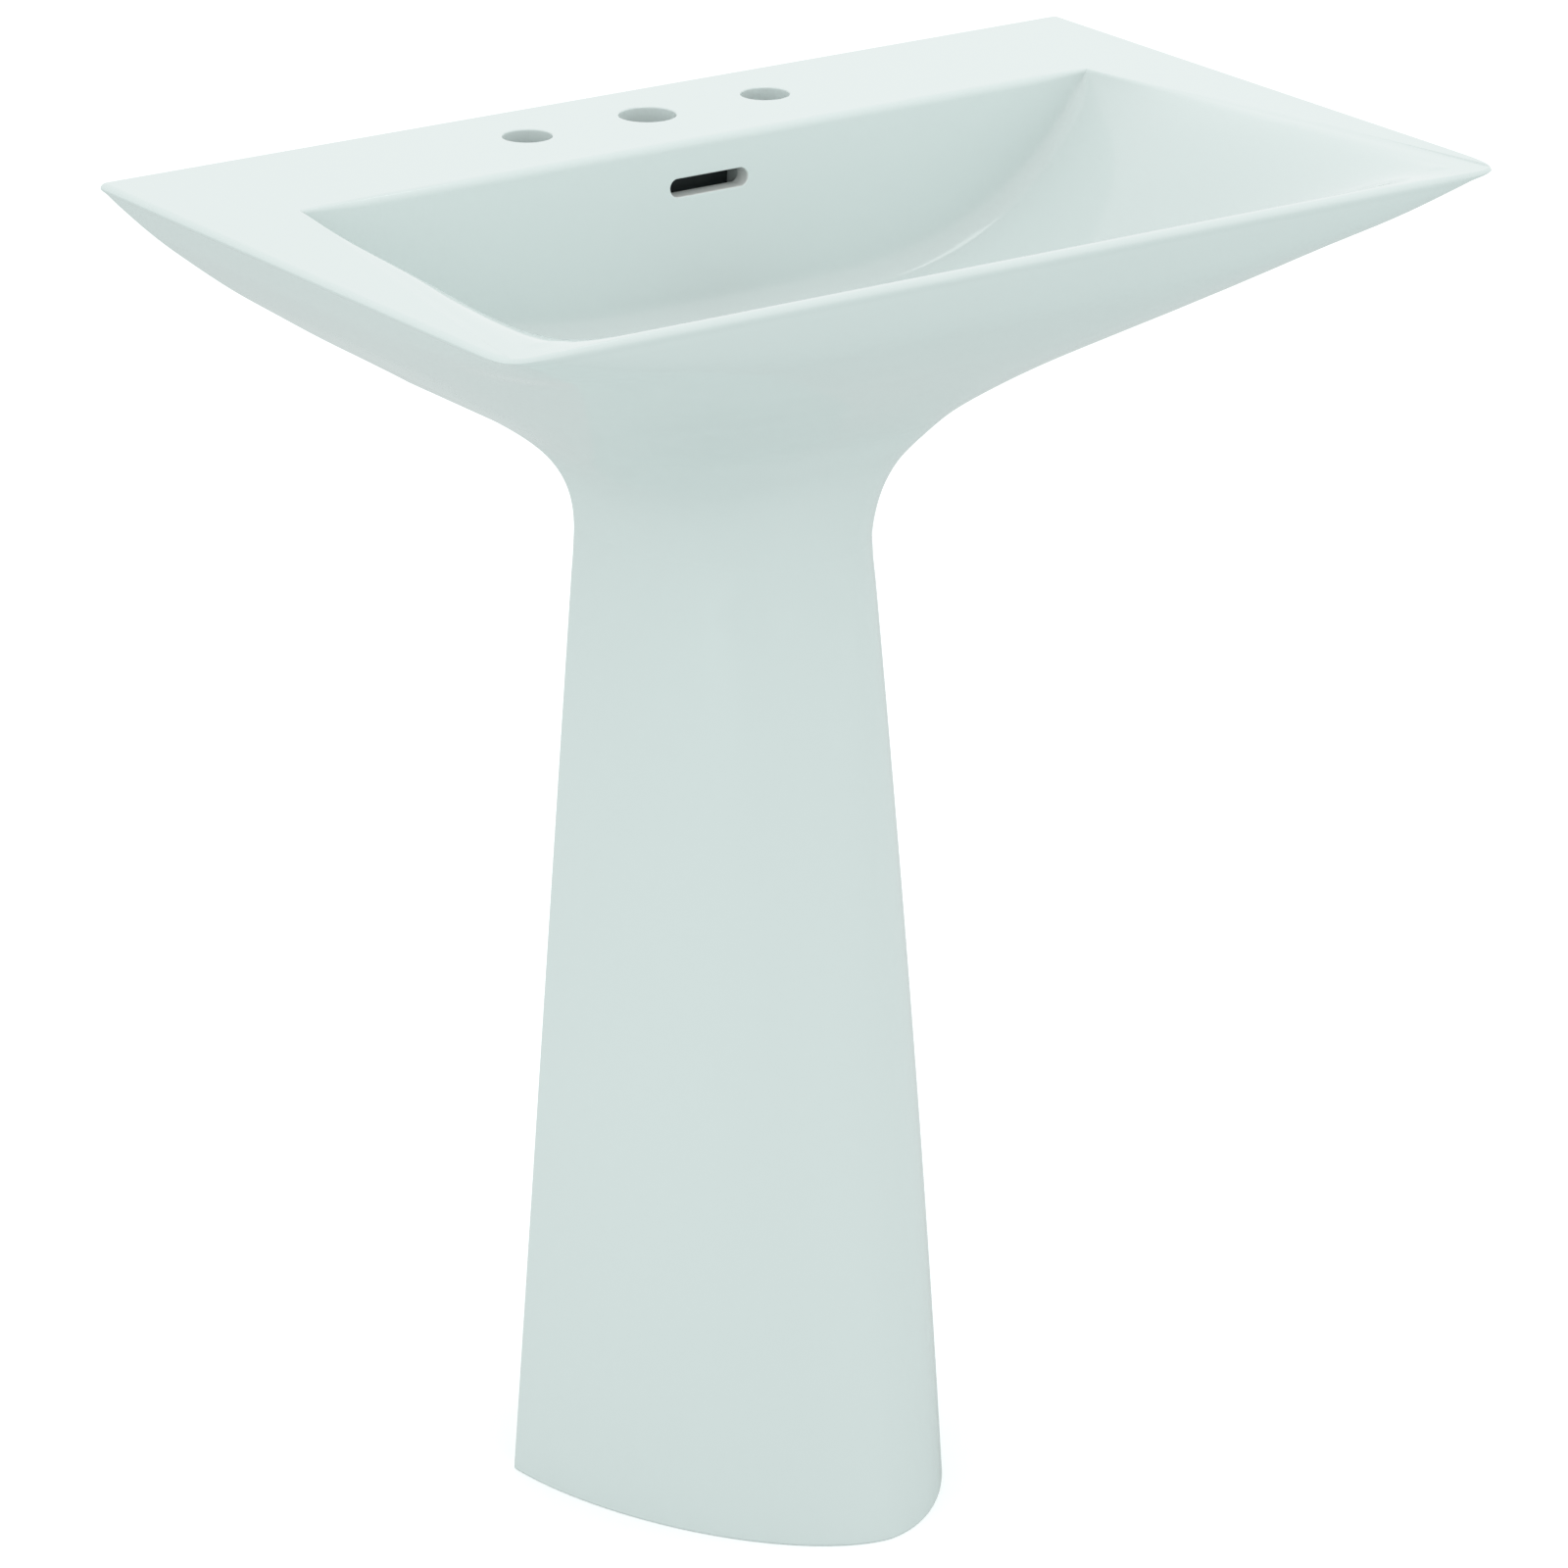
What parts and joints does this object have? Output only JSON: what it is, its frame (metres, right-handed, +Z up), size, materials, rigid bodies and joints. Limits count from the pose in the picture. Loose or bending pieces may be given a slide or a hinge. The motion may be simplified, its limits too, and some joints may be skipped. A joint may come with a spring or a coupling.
{
  "type": "pedestal sink",
  "caption": "Rectangular glazed ceramic washbasin on a tapering ceramic pedestal, with bare tap holes, overflow slot, push plug, bottle trap and wall fixings.",
  "frame": {"origin": "on the floor, under the middle of the part's outline from above", "axes": "+Z up, +Y to the wall, +X to the right as seen from the front"},
  "size_m": [0.7, 0.5034, 0.85],
  "materials": {
    "glaze": "gloss",
    "white_elastic": "satin",
    "chrome": "polished",
    "brass": "satin",
    "steel": "satin",
    "black_rubber": "matte",
    "white_nylon": "matte",
    "grey_plastic": "matte"
  },
  "bodies": {
    "sink": {"basin": "glaze", "pedestal": "glaze", "joint_strip": "white_elastic", "waste_body": "chrome", "waste_upper_seal": "black_rubber", "waste_lower_seal": "black_rubber", "waste_washer": "white_nylon", "waste_back_nut": "brass", "plug_cartridge": "grey_plastic", "coupling_nut": "chrome", "coupling_seal": "black_rubber", "inlet_tube": "chrome", "inlet_nut": "chrome", "inlet_seal": "black_rubber", "trap_head": "chrome", "trap_cup": "chrome", "cup_seal": "black_rubber", "outlet_nut": "chrome", "outlet_seal": "black_rubber", "outlet_pipe": "chrome", "wall_rosette": "chrome", "hanger_bolt_left": "steel", "wall_plug_left": "grey_plastic", "bolt_bush_left": "white_nylon", "bolt_washer_left": "steel", "bolt_nut_left": "steel", "hanger_bolt_right": "steel", "wall_plug_right": "grey_plastic", "bolt_bush_right": "white_nylon", "bolt_washer_right": "steel", "bolt_nut_right": "steel"},
    "plug": {"plug_cap": "chrome", "plug_stem": "steel", "plug_seal": "black_rubber"}
  },
  "joints": [
    {"name": "plug_slide", "type": "slide", "parent": "sink", "child": "plug", "axis": [0, 0, 1], "range_m": [-0.008, 0]}
  ]
}
